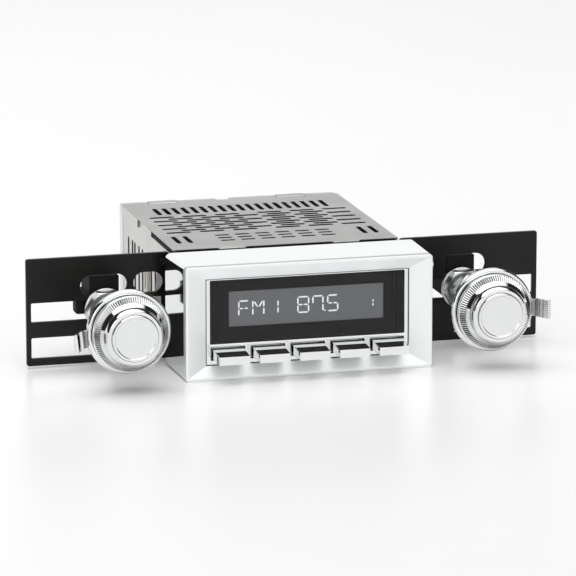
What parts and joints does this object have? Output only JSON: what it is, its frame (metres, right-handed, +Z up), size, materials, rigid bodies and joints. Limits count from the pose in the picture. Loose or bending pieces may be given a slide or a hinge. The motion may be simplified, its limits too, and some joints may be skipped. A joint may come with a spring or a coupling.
{
  "type": "car radio",
  "caption": "Two-shaft car radio with a chrome bezel, smoked display window, push buttons, chrome knobs with lever rings and slotted side plates for mounting in a dash.",
  "frame": {"origin": "middle of the whole radio's box, on the plane that it stands on", "axes": "+X to the radio's right as seen from its front, +Y from the front to the rear, +Z up"},
  "size_m": [0.238, 0.1756, 0.0515],
  "materials": {
    "chrome": "polished bright chrome",
    "chassis_steel": "zinc plated sheet, fine satin grain",
    "black_steel": "satin black powder coat",
    "black_plastic": "fine matt moulded black",
    "smoked_lens": "dark smoked acrylic, glossy",
    "lcd_glass": "grey negative display glass",
    "diffuser": "milky light guide",
    "circuit_board": "green solder mask",
    "tinned_steel": "bright tin plate",
    "aluminium": "extruded, light satin",
    "nickel": "nickel plated turned steel",
    "screw_steel": "zinc plated",
    "contact_brass": "gold flashed pins",
    "capacitor_sleeve": "shrink sleeve",
    "ribbon": "grey flat cable"
  },
  "bodies": {
    "chassis": {"amplifier_chip": "black_plastic", "antenna_socket": "nickel", "audio_jacks": "black_plastic", "bezel": "chrome", "board_screws": "screw_steel", "board_standoffs": "screw_steel", "bracket_screws": "black_steel", "button_switches": "black_plastic", "chassis_tub": "chassis_steel", "display_lens": "smoked_lens", "filter_capacitors": "capacitor_sleeve", "front_board": "circuit_board", "front_housing": "black_plastic", "front_ribbon": "ribbon", "harness_pins": "contact_brass", "harness_socket": "black_plastic", "heat_sink": "aluminium", "inner_trim": "chrome", "lcd_backlight": "diffuser", "lcd_holder": "black_plastic", "lcd_panel": "lcd_glass", "left_bracket": "black_steel", "left_cable_socket": "diffuser", "main_board": "circuit_board", "rear_panel": "chassis_steel", "rear_screws": "screw_steel", "rear_support_stud": "nickel", "right_bracket": "black_steel", "right_cable_socket": "diffuser", "top_cover": "chassis_steel", "tuner_can": "tinned_steel"},
    "left_control": {"left_control_housing": "black_plastic", "left_control_cover": "black_plastic", "left_control_board": "circuit_board", "left_bushing": "nickel", "left_washer": "nickel", "left_shaft_nuts": "nickel"},
    "left_ring": {"left_rear_ring": "chrome", "left_ring_sleeve": "nickel"},
    "left_push": {"left_push_plunger": "black_plastic"},
    "left_knob": {"left_knob_body": "chrome", "left_knob_cap": "chrome", "left_inner_shaft": "nickel"},
    "right_control": {"right_control_housing": "black_plastic", "right_control_cover": "black_plastic", "right_control_board": "circuit_board", "right_bushing": "nickel", "right_washer": "nickel", "right_shaft_nuts": "nickel"},
    "right_ring": {"right_rear_ring": "chrome", "right_ring_sleeve": "nickel"},
    "right_push": {"right_push_plunger": "black_plastic"},
    "right_knob": {"right_knob_body": "chrome", "right_knob_cap": "chrome", "right_inner_shaft": "nickel"},
    "push_button_1": {"button_1": "chrome"},
    "push_button_2": {"button_2": "chrome"},
    "push_button_3": {"button_3": "chrome"},
    "push_button_4": {"button_4": "chrome"},
    "push_button_5": {"button_5": "chrome"}
  },
  "joints": [
    {"name": "left_shaft_slide", "type": "slide", "parent": "chassis", "child": "left_control", "axis": [-1, 0, 0], "range_m": [-0.005, 0.02]},
    {"name": "left_ring_turn", "type": "hinge", "parent": "left_control", "child": "left_ring", "pos_m": [-0.083, -0.0702, 0.0254], "axis": [0, 1, 0], "range_deg": [-30, 30]},
    {"name": "left_knob_push", "type": "slide", "parent": "left_control", "child": "left_push", "axis": [0, 1, 0], "range_m": [0, 0.001], "stiffness_N_per_m": 3000, "springref_m": -0.0005},
    {"name": "left_knob_turn", "type": "hinge", "parent": "left_push", "child": "left_knob", "pos_m": [-0.083, -0.0702, 0.0254], "axis": [0, 1, 0], "continuous": true},
    {"name": "right_shaft_slide", "type": "slide", "parent": "chassis", "child": "right_control", "axis": [1, 0, 0], "range_m": [-0.005, 0.02]},
    {"name": "right_ring_turn", "type": "hinge", "parent": "right_control", "child": "right_ring", "pos_m": [0.083, -0.0702, 0.0254], "axis": [0, 1, 0], "range_deg": [-30, 30]},
    {"name": "right_knob_push", "type": "slide", "parent": "right_control", "child": "right_push", "axis": [0, 1, 0], "range_m": [0, 0.001], "stiffness_N_per_m": 3000, "springref_m": -0.0005},
    {"name": "right_knob_turn", "type": "hinge", "parent": "right_push", "child": "right_knob", "pos_m": [0.083, -0.0702, 0.0254], "axis": [0, 1, 0], "continuous": true},
    {"name": "button_1_press", "type": "slide", "parent": "chassis", "child": "push_button_1", "axis": [0, 1, 0], "range_m": [0, 0.0012], "stiffness_N_per_m": 1500, "springref_m": -0.0005},
    {"name": "button_2_press", "type": "slide", "parent": "chassis", "child": "push_button_2", "axis": [0, 1, 0], "range_m": [0, 0.0012], "stiffness_N_per_m": 1500, "springref_m": -0.0005},
    {"name": "button_3_press", "type": "slide", "parent": "chassis", "child": "push_button_3", "axis": [0, 1, 0], "range_m": [0, 0.0012], "stiffness_N_per_m": 1500, "springref_m": -0.0005},
    {"name": "button_4_press", "type": "slide", "parent": "chassis", "child": "push_button_4", "axis": [0, 1, 0], "range_m": [0, 0.0012], "stiffness_N_per_m": 1500, "springref_m": -0.0005},
    {"name": "button_5_press", "type": "slide", "parent": "chassis", "child": "push_button_5", "axis": [0, 1, 0], "range_m": [0, 0.0012], "stiffness_N_per_m": 1500, "springref_m": -0.0005}
  ]
}
